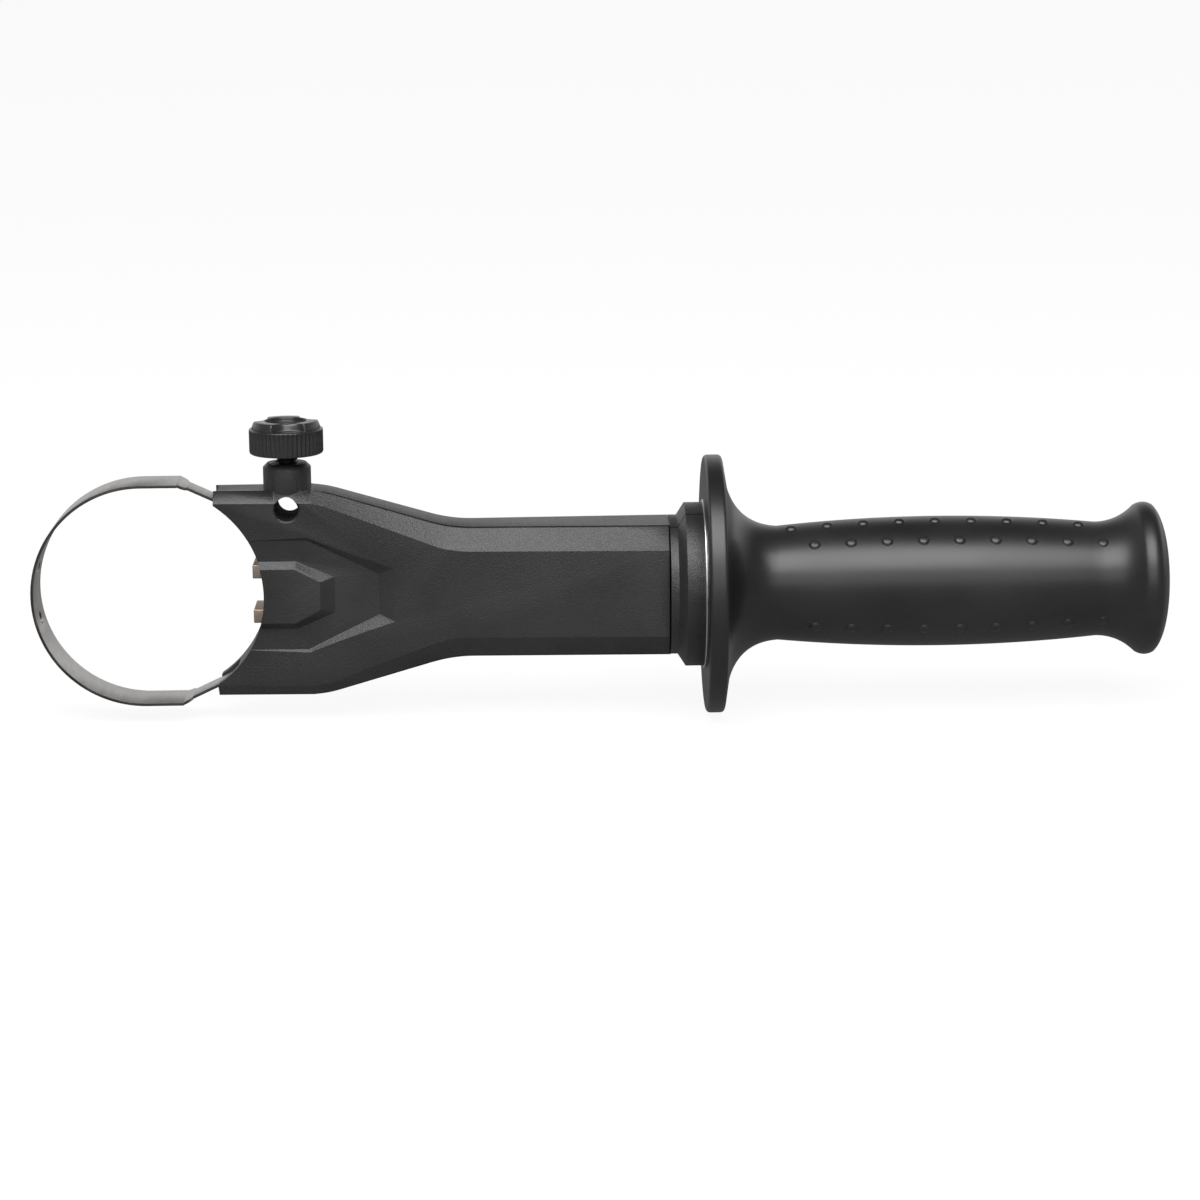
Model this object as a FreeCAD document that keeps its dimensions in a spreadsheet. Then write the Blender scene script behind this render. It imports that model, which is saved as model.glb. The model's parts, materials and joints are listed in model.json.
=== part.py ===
import FreeCAD, Part
import math
import os
import Sketcher

# Side handle that clamps round the neck of a hand-held power tool.
# X runs along the handle towards the grip, Y is the axis of the clamp ring and Z is up.
# The origin is the centre of the clamp ring. All sizes are millimetres.

doc = FreeCAD.newDocument("side_handle")
sheet = doc.addObject("Spreadsheet::Sheet", "Sizes")
V = FreeCAD.Vector


class Size:
    """A length that remembers the spreadsheet expression it was worked out from."""

    def __init__(self, value, text):
        self.value = value
        self.text = text

    def join(self, sign, other, value):
        return Size(value, "(" + self.text + " " + sign + " " + as_size(other).text + ")")

    def __add__(self, other):
        return self.join("+", other, self.value + as_size(other).value)

    def __sub__(self, other):
        return self.join("-", other, self.value - as_size(other).value)

    def __mul__(self, other):
        return self.join("*", other, self.value * as_size(other).value)

    def __truediv__(self, other):
        return self.join("/", other, self.value / as_size(other).value)

    def __radd__(self, other):
        return as_size(other) + self

    def __rsub__(self, other):
        return as_size(other) - self

    def __rmul__(self, other):
        return as_size(other) * self

    def __neg__(self):
        return Size(-self.value, "(0 - " + self.text + ")")


def as_size(number):
    """Wrap a plain number so that it can be mixed with sizes."""
    return number if isinstance(number, Size) else Size(float(number), str(float(number)))


def tangent(degrees):
    """Tangent of an angle held as a plain number of degrees."""
    return Size(math.tan(math.radians(degrees.value)), "tan(" + degrees.text + ")")


def cosine(degrees):
    """Cosine of an angle held as a plain number of degrees."""
    return Size(math.cos(math.radians(degrees.value)), "cos(" + degrees.text + ")")


def driving(row, alias, value):
    """Put one driving dimension in the sheet and give it back as a size."""
    sheet.set("A" + str(row), alias)
    sheet.set("B" + str(row), str(value))
    sheet.setAlias("B" + str(row), alias)
    return Size(value, "Sizes." + alias)


# Driving dimensions of the clamp ring
ring_radius = 30.4  # inside radius of the clamp band
band_thick = 0.8  # thickness of the steel band
band_wide = 15.4  # width of the band round the tool
strip_wide = 8.8  # width of the band ends inside the arm
strip_angle = 25.0  # slope of the band ends in degrees
neck_place = 10.2  # where the band bends and gets narrow
neck_fillet = 2.5  # corner radius of the step to the narrow end
lock_hole_radius = 1.75  # radius of the two holes in the band
lock_hole_angle = 13.3  # angle of those holes from the middle
clamp_draw = 5.0  # how far the band can be drawn in
clamp_slack = 1.0  # how far the band can be let out

# Driving dimensions of the moulded arm
arm_left = 20.0  # left end of the arm
slope_start = 46.9  # where the arm starts to get slimmer
slope_end = 83.8  # where the slim stretch begins
panel_end = 146.1  # right end of the front cover
wide_half_height = 28.95  # half height of the wide end
left_half_thick = 7.8  # half thickness at the left end
wide_bevel_tall = 3.15  # bevel of the wide end, along Z
left_bevel_deep = 3.0  # bevel at the left end, along Y
slim_half_height = 18.3  # half height of the slim stretch
right_half_thick = 13.4  # half thickness at the right end of the cover
slim_bevel_tall = 6.15  # bevel of the slim stretch, along Z
right_bevel_deep = 5.3  # bevel at the right end of the cover, along Y
saddle_offset = 3.1  # saddle centre from the ring centre
seam_wide = 0.4  # gap between the cover's right end and the collar
slot_mouth = 5.5  # how far the open mouths of the band slots reach into the arm
slot_inside = 10.0  # half height where those mouths start
collar_radius = 22.9  # radius of the round collar
collar_cone = 2.2  # length of the cone before the collar
collar_small = 19.5  # radius where that cone starts
collar_lead = 2.1  # from the cover to the start of the cone
collar_end = 155.4  # right face of the collar
running_gap = 0.4  # room round parts that slide in the arm

# Driving dimensions of the boss and the bore for a depth rod
boss_place = 40.2  # centre of the boss along the arm
boss_radius = 6.65  # radius of the boss
boss_top = 36.0  # top of the boss
boss_chamfer = 1.2  # chamfer round the top of the boss
rod_bore_radius = 3.25  # radius of the bore for a 6 mm rod
rod_bore_height = 24.1  # height of that bore
rod_bore_chamfer = 0.5  # chamfer at both mouths of the bore

# Driving dimensions of the relief on the broad faces
recess_half = 15.4  # half height of the recess
recess_floor = 8.15  # distance of its floor from the middle plane
recess_bend = 45.6  # where the recess starts to close in
recess_end = 65.3  # right end of the recess floor
recess_end_half = 5.7  # half height of the recess there
recess_draft = 1.0  # sideways run of its walls for each mm up
recess_bend_draft = 0.3  # how far its bend moves right with that run
recess_ramp = 2.4  # how far its right end moves with that run
plateau_left = 31.0  # left end of the plateau, inside the saddle
plateau_half = 9.5  # half height of the plateau at its foot
plateau_bend = 42.4  # where the plateau starts to close in
plateau_end = 53.1  # right end of the plateau
plateau_end_half = 5.0  # half height of the plateau there
plateau_rise = 2.0  # height of the plateau
plateau_draft = 1.9  # how far its walls lean in over that height
plateau_root = 1.0  # how deep the plateau reaches into the floor
plateau_bend_draft = 0.15  # how far its bend moves with that lean
plateau_end_draft = 0.6  # how far its right corners move in with it
plateau_nose_draft = 2.1  # how far its right end moves with it

# Driving dimensions of the lock insert with its two teeth
insert_half_height = 9.2  # half height of the steel insert
insert_half_wide = 6.4  # half width of the steel insert
insert_back = 39.5  # right face of the insert
insert_front = 35.0  # left face of the insert, behind the teeth
tooth_tip = 30.3  # left end of the teeth
tooth_height = 6.3  # distance of each tooth from the middle
tooth_half = 1.9  # half height of a tooth

# Driving dimensions of the drawing parts
anchor_left = 53.0  # left face of the band anchor
anchor_step = 59.5  # where the anchor gets broad
anchor_right = 67.0  # right face of the band anchor
anchor_lug_half = 1.9  # half width of the lug between the band eyes
anchor_half_height = 7.5  # half height of the broad part
anchor_half_wide = 6.0  # half width of the broad part
anchor_slope_end = 65.0  # where the lug reaches the height of the broad part
eye_place = 56.0  # place of the band eyes
pin_radius = 1.5  # radius of the anchor pins
pin_fit = 0.05  # clearance of the pins in their holes
eye_wall = 0.9  # wall of the band eyes
bolt_radius = 4.0  # radius of the draw bolt
bolt_reach = 45.0  # how far the draw bolt reaches into the grip
bolt_bore_gap = 0.3  # clearance of the draw bolt in its bore
bolt_room = 4.0  # room past the end of the draw bolt in the grip
thread_gap = 0.05  # clearance between a thread and its nut

# Driving dimensions of the grip
washer_radius = 23.6  # outside radius of the collar washer
washer_thick = 0.5  # thickness of the collar washer
flange_radius = 36.1  # radius of the hand guard
flange_thick = 5.1  # thickness of the hand guard at its rim
flange_round = 1.3  # rounding of its rim
flange_foot = 27.2  # radius where its back starts to curve
flange_dish = 1.3  # how far the back of the guard slopes
neck_radius = 15.95  # smallest radius of the grip
neck_run = 20.4  # from the guard's face to the first neck
neck_lean = 2.9  # from the guard's back to the corner the curve leans to
neck_floor = 16.6  # radius of that corner
belly_long = 89.1  # length of the barrel between both necks
belly_rise = 2.2  # how much thicker the barrel is in its middle
rim_radius = 20.7  # radius where the end rim starts
rim_run = 11.3  # from the second neck to the end rim
rim_lean = 6.5  # from the second neck to the corner the curve leans to
rim_wide = 4.5  # width of the rounded end rim
rim_crest = 22.0  # radius of the corner that the rim's rounding leans to
rim_crest_place = 2.35  # from the start of the rim to that corner
end_radius = 20.8  # radius where the end dome starts
end_dome = 4.05  # height of the end dome
end_shoulder = 17.0  # radius of the corner that the dome leans to
nut_half_flats = 6.5  # half the width across flats of the grip nut
nut_tall = 8.0  # length of the grip nut
nut_depth = 4.0  # from the guard's face to the grip nut
nub_radius = 1.55  # radius of the nubs over their corners
nub_rise = 0.55  # how far the nubs stand out
nub_root = 1.0  # how deep the nubs reach into the barrel
nub_lead = 3.8  # from the first neck to the first nub of the outer rows
nub_pitch = 10.0  # distance between nubs of one row
nub_stagger = 6.0  # how far every other row is shifted
nub_turn = 7.0  # how far the nub pattern is turned up in degrees
nub_clear = 43.0  # angle from the pattern's middle to its first row
nub_step = 30.0  # angle between neighbouring rows in degrees

# Driving dimensions of the thumb screw
stud_radius = 3.0  # radius of the thumb stud
stud_bottom = 29.6  # lower end of the stud at rest
stud_dog_radius = 1.9  # radius of the stud's plain tip
stud_dog_long = 1.7  # length of that tip
stud_top = 44.6  # upper end of the stud inside the knob
insert_radius = 4.6  # outside radius of the boss insert
insert_long = 5.4  # length of the boss insert
knob_radius = 9.95  # radius of the knob over its ribs
knob_gap = 3.9  # gap between boss and knob at rest
knob_tall = 6.4  # height of the ribbed side of the knob
knob_crown = 1.9  # height of the lobes above the side
knob_edge = 0.6  # rounding of the knob's lower and upper edge
rib_deep = 0.5  # depth of the grooves between the knob's ribs
rib_half = 0.6  # half width of those grooves at the outside
crown_inset = 1.0  # from the ribs to the foot of the crown
scallop_radius = 7.0  # radius of the hollows between the crown's lobes
scallop_reach = 6.5  # from the knob's axis to those hollows
dish_radius = 5.8  # radius of the dish in the crown
dish_deep = 1.3  # depth of that dish
stud_wall = 1.2  # wall left between the rod's bore and the stud's thread

# Driving dimensions of the screws that hold the cover
screw_shank = 1.5  # shank radius of the cover screws
screw_head = 2.7  # head radius of the cover screws
screw_head_tall = 2.0  # head height of the cover screws
screw_sink = 5.0  # distance of the head's seat from the middle plane
screw_grip = 2.2  # how far the screws reach into the cover
screw_wide_place = 60.0  # place of the two screws near the slope
screw_wall = 1.6  # wall between their heads' holes and the chamber
screw_slim_place = 137.1  # place of the two screws near the collar
screw_slim_height = 8.9  # their distance from the middle

# How far cutting shapes reach past a face, and how far they start inside it
past = 5.0
inside = 1.0

knob_ribs = 30
knob_lobes = 3
nubs_in_row = 9
nub_sides = 6
belly_steps = 8
rows_each_way = 4

# Every length above goes in the sheet, and the model is driven from there
lengths = [name for name, value in list(globals().items()) if isinstance(value, float)]
for row, name in enumerate(lengths, 1):
    globals()[name] = driving(row, name, globals()[name])


# Tools for drawing and for making features

def plane_of(body, role):
    """One of the body's own origin planes or axes."""
    return [item for item in body.Origin.OriginFeatures if item.Role == role][0]


def new_body(label):
    """A body whose label is the name of its piece."""
    body = doc.addObject("PartDesign::Body", label)
    body.Label = label
    body.Placement = FreeCAD.Placement()
    return body


def new_sketch(body, name, role, offset=0.0):
    """A sketch on an origin plane, moved along the plane's normal."""
    sketch = body.newObject("Sketcher::SketchObject", name)
    sketch.AttachmentSupport = [(plane_of(body, role), "")]
    sketch.MapMode = "FlatFace"
    sketch.setExpression("AttachmentOffset.Base.z", as_size(offset).text)
    return sketch


def pin_point(sketch, edge, end, point):
    """Hold one end of an edge at a point given by two sizes."""
    for kind, axis, size in (("DistanceX", -2, point[0]), ("DistanceY", -1, point[1])):
        size = as_size(size)
        if size.text == "0.0":
            sketch.addConstraint(Sketcher.Constraint("PointOnObject", edge, end, axis))
        else:
            place = sketch.addConstraint(Sketcher.Constraint(kind, -1, 1, edge, end, size.value))
            sketch.setExpression("Constraints[" + str(place) + "]", size.text)


def arc_middle(start, end, radius):
    """Point half way along an arc; a positive radius bulges to the left of the way."""
    middle = (start + end) * 0.5
    chord = end - start
    half = chord.Length / 2
    side = V(-chord.y, chord.x, 0).normalize()
    sagitta = abs(radius) - math.sqrt(max(radius * radius - half * half, 0))
    return middle + side * math.copysign(sagitta, radius)


def outline(sketch, corners):
    """A closed outline. A corner is (across, up), or (across, up, radius) before an arc."""
    base = sketch.GeometryCount
    spots = [V(as_size(c[0]).value, as_size(c[1]).value, 0) for c in corners]
    ends = []
    for index, corner in enumerate(corners):
        start = spots[index]
        end = spots[(index + 1) % len(corners)]
        if len(corner) == 2:
            sketch.addGeometry(Part.LineSegment(start, end))
            ends.append((1, 2))
        else:
            bulge = as_size(corner[2])
            sketch.addGeometry(Part.Arc(start, arc_middle(start, end, bulge.value), end))
            ends.append((2, 1) if bulge.value > 0 else (1, 2))
    for index, corner in enumerate(corners):
        after = (index + 1) % len(corners)
        sketch.addConstraint(Sketcher.Constraint("Coincident", base + index, ends[index][1],
                                                 base + after, ends[after][0]))
        pin_point(sketch, base + index, ends[index][0], corner)
    for index, corner in enumerate(corners):
        if len(corner) == 3:
            bulge = as_size(corner[2])
            place = sketch.addConstraint(Sketcher.Constraint("Radius", base + index,
                                                             abs(bulge.value)))
            text = bulge.text if bulge.value > 0 else (-bulge).text
            sketch.setExpression("Constraints[" + str(place) + "]", text)


def bend(start, corner, end, steps):
    """Points from start to end on a smooth curve that leans towards the corner."""
    points = []
    for step in range(steps + 1):
        share = step / steps
        parts = ((1 - share) ** 2, 2 * share * (1 - share), share ** 2)
        points.append(tuple(sum((spot[axis] * part for spot, part in
                                 zip((start, corner, end), parts)), as_size(0.0))
                            for axis in (0, 1)))
    return points


def circle(sketch, across, up, radius):
    """A circle whose centre and radius are sizes."""
    spot = V(as_size(across).value, as_size(up).value, 0)
    edge = sketch.addGeometry(Part.Circle(spot, V(0, 0, 1), as_size(radius).value))
    pin_point(sketch, edge, 3, (across, up))
    place = sketch.addConstraint(Sketcher.Constraint("Radius", edge, as_size(radius).value))
    sketch.setExpression("Constraints[" + str(place) + "]", as_size(radius).text)


def feature(body, kind, name, sketch):
    """A feature of a body made from a sketch."""
    item = body.newObject("PartDesign::" + kind, name)
    item.Profile = sketch
    return item


def pad(body, name, sketch, length):
    """Pad a sketch the same way to both sides."""
    item = feature(body, "Pad", name, sketch)
    item.SideType = "Symmetric"
    item.setExpression("Length", as_size(length).text)
    return item


def pad_up(body, name, sketch, length, backwards=False):
    """Pad a sketch along its normal, or against it."""
    item = feature(body, "Pad", name, sketch)
    item.setExpression("Length", as_size(length).text)
    item.Reversed = backwards
    return item


def cut(body, name, sketch, length):
    """Cut a sketch the same way to both sides."""
    item = feature(body, "Pocket", name, sketch)
    item.Type = "Length"
    item.SideType = "Symmetric"
    item.setExpression("Length", as_size(length).text)
    return item


def cut_down(body, name, sketch, length):
    """Cut a sketch one way, against its plane's normal."""
    item = feature(body, "Pocket", name, sketch)
    item.Type = "Length"
    item.setExpression("Length", as_size(length).text)
    return item


def loft(body, kind, name, sections):
    """A straight-sided loft through the sections, added or cut."""
    item = feature(body, kind, name, sections[0])
    item.Sections = [(section, [""]) for section in sections[1:]]
    item.Ruled = True
    return item


def revolve(body, kind, name, sketch, axis_role):
    """A full turn about an origin axis, added or cut."""
    item = feature(body, kind, name, sketch)
    item.ReferenceAxis = (plane_of(body, axis_role), [""])
    item.Angle = 360
    return item


def bind(item, values):
    """Bind properties of a Part primitive to sizes."""
    for name, size in values.items():
        item.setExpression(name, as_size(size).text)


def lay_along_x(item):
    """Turn a primitive so that its axis runs along X."""
    item.Placement = FreeCAD.Placement(V(0, 0, 0), FreeCAD.Rotation(V(0, 1, 0), 90))


def lay_along_y(item):
    """Turn a primitive so that its axis runs along Y."""
    item.Placement = FreeCAD.Placement(V(0, 0, 0), FreeCAD.Rotation(V(1, 0, 0), -90))


def place(item, across, deep, up):
    """Put a primitive at a point given by three sizes."""
    for axis, size in (("x", across), ("y", deep), ("z", up)):
        item.setExpression("Placement.Base." + axis, as_size(size).text)


def rod(name, radius, length, across=0.0, deep=0.0, up=0.0, along="z"):
    """A cylinder that starts at a point and runs along one axis."""
    item = doc.addObject("Part::Cylinder", name)
    bind(item, {"Radius": radius, "Height": length})
    if along == "x":
        lay_along_x(item)
    if along == "y":
        lay_along_y(item)
    place(item, across, deep, up)
    return item


def subtract(label, base, tool):
    """A piece that is one solid minus another."""
    item = doc.addObject("Part::Cut", label)
    item.Base = base
    item.Tool = tool
    item.Label = label
    return item


def fuse(label, solids):
    """A piece that is several solids in one."""
    item = doc.addObject("Part::MultiFuse", label)
    item.Shapes = solids
    item.Refine = True
    item.Label = label
    return item


# Sizes that follow from the driving ones

far = 400.0
strip_slope = tangent(strip_angle)
strip_half = band_thick / 2 / cosine(strip_angle)
flat_height = ring_radius + band_thick / 2
eye_height = flat_height - (eye_place - neck_place) * strip_slope
eye_radius = pin_radius + pin_fit + eye_wall
slot_half_wide = strip_wide / 2 + running_gap
slot_above = strip_half + clamp_draw * strip_slope + running_gap
slot_below = strip_half + clamp_slack * strip_slope + running_gap
chamber_left = anchor_left - clamp_slack - running_gap
slot_end = eye_place + clamp_draw
chamber_right = anchor_right + clamp_draw + running_gap
chamber_half = eye_height + eye_radius + 2 * running_gap
chamber_half_wide = anchor_half_wide + running_gap
flange_face = collar_end + washer_thick
first_neck = flange_face + neck_run
second_neck = first_neck + belly_long
rim_left = second_neck + rim_run
grip_end = rim_left + rim_wide + end_dome
bolt_end = flange_face + bolt_reach
bolt_bore_radius = bolt_radius + bolt_bore_gap
knob_bottom = boss_top + knob_gap
screw_wide_height = chamber_half + screw_wall + screw_head + running_gap
screw_spots = ((screw_wide_place, screw_wide_height), (screw_wide_place, -screw_wide_height),
               (screw_slim_place, screw_slim_height), (screw_slim_place, -screw_slim_height))


def strip_height(across):
    """Height of the upper band end's middle line at a place along X."""
    return flat_height - (across - neck_place) * strip_slope


def along_arm(left, right, across):
    """A size that changes evenly from the arm's left end to the cover's right end."""
    return left + (right - left) * (across - arm_left) / (panel_end - arm_left)


def half_thick(across):
    """Half thickness of the arm at a place along X."""
    return along_arm(left_half_thick, right_half_thick, across)


def parting_depth(across):
    """Depth of the parting line between arm body and cover, where the bevel ends."""
    return half_thick(across) - along_arm(left_bevel_deep, right_bevel_deep, across)


# The arm's envelope, shared by the arm body and the front cover

def eight_sided(sketch, across, half_height, bevel_tall):
    """Bevelled section of the arm, across Y and up Z."""
    low = half_height - bevel_tall
    thick = half_thick(across)
    near = parting_depth(across)
    outline(sketch, [(-thick, -low), (-near, -half_height), (near, -half_height), (thick, -low),
                     (thick, low), (near, half_height), (-near, half_height), (-thick, low)])


def arm_blank(body, right_end):
    """Loft of the whole arm: wide end, slope and slim stretch."""
    wide = (wide_half_height, wide_bevel_tall)
    slim = (slim_half_height, slim_bevel_tall)
    stations = ((arm_left, wide), (slope_start, wide), (slope_end, slim), (right_end, slim))
    sections = []
    for number, (across, (half_height, bevel_tall)) in enumerate(stations):
        sketch = new_sketch(body, body.Name + "_section_" + str(number + 1), "YZ_Plane", across)
        eight_sided(sketch, across, half_height, bevel_tall)
        sections.append(sketch)
    return loft(body, "AdditiveLoft", body.Name + "_blank", sections)


def relief(body, side):
    """Shallow recess on one broad face and the raised plateau in it."""
    sign = 1 if side == "front" else -1
    top = half_thick(slope_end)
    sections = []
    for number, (level, grow) in enumerate(((recess_floor, as_size(0.0)),
                                            (top, (top - recess_floor) * recess_draft))):
        sketch = new_sketch(body, "_".join((body.Name, side, "recess", str(number + 1))),
                            "XZ_Plane", sign * level)
        half = recess_half + grow
        end_half = recess_end_half + grow
        bend_place = recess_bend + grow * recess_bend_draft
        right = recess_end + grow * recess_ramp
        outline(sketch, [(saddle_offset, -half), (bend_place, -half), (right, -end_half),
                         (right, end_half), (bend_place, half), (saddle_offset, half)])
        sections.append(sketch)
    loft(body, "SubtractiveLoft", "_".join((body.Name, side, "recess")), sections)
    sections = []
    root_shrink = -plateau_root * plateau_draft / plateau_rise
    for number, (level, shrink) in enumerate(((recess_floor - plateau_root, root_shrink),
                                              (recess_floor + plateau_rise, plateau_draft))):
        sketch = new_sketch(body, "_".join((body.Name, side, "plateau", str(number + 1))),
                            "XZ_Plane", sign * level)
        half = plateau_half - shrink
        end_half = plateau_end_half - shrink * plateau_end_draft
        bend_place = plateau_bend - shrink * plateau_bend_draft
        right = plateau_end - shrink * plateau_nose_draft
        outline(sketch, [(plateau_left, -half), (bend_place, -half), (right, -end_half),
                         (right, end_half), (bend_place, half), (plateau_left, half)])
        sections.append(sketch)
    loft(body, "AdditiveLoft", "_".join((body.Name, side, "plateau")), sections)


def cut_band_slots(body):
    """Slots for both band ends, with an open mouth at the saddle."""
    mouth = arm_left + slot_mouth
    start = arm_left - past
    for side, sign in (("upper", 1), ("lower", -1)):
        sketch = new_sketch(body, "_".join((body.Name, side, "slot")), "XZ_Plane")
        corners = [(start, sign * (strip_height(start) + slot_above)),
                   (start, sign * slot_inside), (mouth, sign * slot_inside),
                   (mouth, sign * (strip_height(mouth) - slot_below)),
                   (slot_end, sign * (strip_height(slot_end) - slot_below)),
                   (slot_end, sign * (strip_height(slot_end) + slot_above))]
        outline(sketch, corners if sign > 0 else corners[::-1])
        cut(body, "_".join((body.Name, side, "slot_cut")), sketch, 2 * slot_half_wide)


def cut_box(body, name, left, right, half_height, half_wide):
    """A box-shaped space, even about the middle planes."""
    sketch = new_sketch(body, body.Name + "_" + name, "XZ_Plane")
    outline(sketch, [(left, -half_height), (right, -half_height), (right, half_height),
                     (left, half_height)])
    cut(body, body.Name + "_" + name + "_cut", sketch, 2 * half_wide)


def cut_saddle(body):
    """Round saddle that bears on the tool's neck."""
    sketch = new_sketch(body, body.Name + "_saddle", "XZ_Plane")
    circle(sketch, saddle_offset, 0.0, ring_radius)
    cut(body, body.Name + "_saddle_cut", sketch, far)


def cut_insert_seat(body):
    """Seat of the lock insert and the two windows for its teeth."""
    cut_box(body, "insert_seat", insert_front, insert_back, insert_half_height,
            insert_half_wide)
    for side, sign in (("upper", 1), ("lower", -1)):
        sketch = new_sketch(body, "_".join((body.Name, side, "window")), "XZ_Plane")
        low = sign * tooth_height - tooth_half
        high = sign * tooth_height + tooth_half
        outline(sketch, [(tooth_tip - past, low), (insert_front + inside, low),
                         (insert_front + inside, high), (tooth_tip - past, high)])
        cut(body, "_".join((body.Name, side, "window_cut")), sketch, 2 * insert_half_wide)


def cut_rod_bore(body, side):
    """Bore for a depth rod, along Y, with a chamfered mouth on one side."""
    sketch = new_sketch(body, body.Name + "_rod_bore", "XZ_Plane")
    circle(sketch, boss_place, rod_bore_height, rod_bore_radius)
    cut(body, body.Name + "_rod_bore_cut", sketch, far)
    sign = 1 if side == "front" else -1
    sections = []
    for number, grow in enumerate((0, 2)):
        level = half_thick(boss_place) - rod_bore_chamfer + rod_bore_chamfer * grow
        sketch = new_sketch(body, body.Name + "_rod_mouth_" + str(number + 1), "XZ_Plane",
                            sign * level)
        circle(sketch, boss_place, rod_bore_height, rod_bore_radius + rod_bore_chamfer * grow)
        sections.append(sketch)
    loft(body, "SubtractiveLoft", body.Name + "_rod_mouth", sections)


def cut_bolt_bore(body, right_end):
    """Bore for the draw bolt, along X."""
    sketch = new_sketch(body, body.Name + "_bolt_bore", "YZ_Plane", right_end)
    circle(sketch, 0.0, 0.0, bolt_bore_radius)
    return cut_down(body, body.Name + "_bolt_bore_cut", sketch, right_end - anchor_step)


def parting_region(sketch, edge):
    """Region of the arm on one side of the parting face, seen from above."""
    left = arm_left - past
    right = panel_end + past
    corners = [(left, -parting_depth(left)), (right, -parting_depth(right)), (right, edge),
               (left, edge)]
    outline(sketch, corners)


def cut_screw_holes(body, radius, front_depth):
    """Holes for the four cover screws."""
    for number, (across, up) in enumerate(screw_spots):
        sketch = new_sketch(body, body.Name + "_screw_hole_" + str(number + 1), "XZ_Plane",
                            front_depth(number))
        circle(sketch, across, up, radius)
        cut_down(body, body.Name + "_screw_hole_cut_" + str(number + 1), sketch, far)


def screw_tip(number):
    """Depth of a screw's tip in the cover, measured towards the front."""
    return parting_depth(screw_spots[number][0]) + screw_grip


def turned_upright(body, name, kind, corners):
    """A profile turned a full time about the upright axis through the boss."""
    sketch = new_sketch(body, name + "_profile", "XZ_Plane")
    outline(sketch, corners)
    line = sketch.addGeometry(Part.LineSegment(V(boss_place.value, 0, 0),
                                               V(boss_place.value, 1, 0)), True)
    pin_point(sketch, line, 1, (boss_place, 0.0))
    pin_point(sketch, line, 2, (boss_place, inside))
    item = feature(body, kind, name, sketch)
    item.ReferenceAxis = (sketch, ["Axis0"])
    item.Angle = 360
    return item


def turned_copies(body, name, item, count):
    """Copies of a cut, spread evenly round the upright axis of its body's first shape."""
    pattern = body.newObject("PartDesign::PolarPattern", name)
    pattern.Originals = [item]
    pattern.Axis = (body.Group[0], ["Axis0"])
    pattern.Angle = 360
    pattern.Occurrences = count
    body.Tip = pattern


# Moulded arm body

arm = new_body("arm_body")
arm_blank(arm, panel_end)
relief(arm, "rear")
front_part = new_sketch(arm, "arm_front_part", "XY_Plane")
parting_region(front_part, -far)
cut(arm, "arm_front_cut", front_part, far)

collar_profile = new_sketch(arm, "arm_collar_profile", "XZ_Plane")
cone_start = panel_end + collar_lead
outline(collar_profile, [(panel_end, 0.0), (collar_end, 0.0), (collar_end, collar_radius),
                         (cone_start + collar_cone, collar_radius), (cone_start, collar_small),
                         (panel_end, collar_small)])
revolve(arm, "Revolution", "arm_collar", collar_profile, "X_Axis")

boss_foot = wide_half_height - wide_bevel_tall
turned_upright(arm, "arm_boss", "Revolution", [
    (boss_place, boss_foot), (boss_place + boss_radius, boss_foot),
    (boss_place + boss_radius, boss_top - boss_chamfer),
    (boss_place + boss_radius - boss_chamfer, boss_top), (boss_place, boss_top)])

cut_saddle(arm)
cut_band_slots(arm)
cut_box(arm, "chamber", chamber_left, chamber_right, chamber_half, chamber_half_wide)
cut_insert_seat(arm)
cut_rod_bore(arm, "rear")
cut_bolt_bore(arm, collar_end)

shoulder = rod_bore_height + rod_bore_radius + stud_wall
for name, radius, length in (("tip", stud_dog_radius + bolt_bore_gap, boss_top - rod_bore_height),
                             ("stud", stud_radius + bolt_bore_gap, boss_top - shoulder),
                             ("insert", insert_radius, insert_long)):
    sketch = new_sketch(arm, "arm_" + name + "_bore", "XY_Plane", boss_top)
    circle(sketch, boss_place, 0.0, radius)
    cut_down(arm, "arm_" + name + "_bore_cut", sketch, length)

cut_screw_holes(arm, screw_shank, lambda number: right_half_thick)
for number, (across, up) in enumerate(screw_spots):
    sketch = new_sketch(arm, "arm_screw_sink_" + str(number + 1), "XZ_Plane", -screw_sink)
    circle(sketch, across, up, screw_head + running_gap)
    cut_down(arm, "arm_screw_sink_cut_" + str(number + 1), sketch, far)

# Front cover

cover = new_body("front_cover")
arm_blank(cover, panel_end - seam_wide)
relief(cover, "front")
rear_part = new_sketch(cover, "cover_rear_part", "XY_Plane")
parting_region(rear_part, far)
cut(cover, "cover_rear_cut", rear_part, far)
boss_notch = new_sketch(cover, "cover_boss_notch", "XY_Plane", boss_foot)
circle(boss_notch, boss_place, 0.0, boss_radius)
notch = feature(cover, "Pocket", "cover_boss_notch_cut", boss_notch)
notch.Type = "Length"
notch.Reversed = True
notch.setExpression("Length", wide_half_height.text)
cut_saddle(cover)
cut_band_slots(cover)
cut_box(cover, "chamber", chamber_left, chamber_right, chamber_half, chamber_half_wide)
cut_insert_seat(cover)
cut_rod_bore(cover, "front")
cut_screw_holes(cover, screw_shank, screw_tip)

# Lock insert: a steel block with two teeth that look out of the saddle

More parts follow.
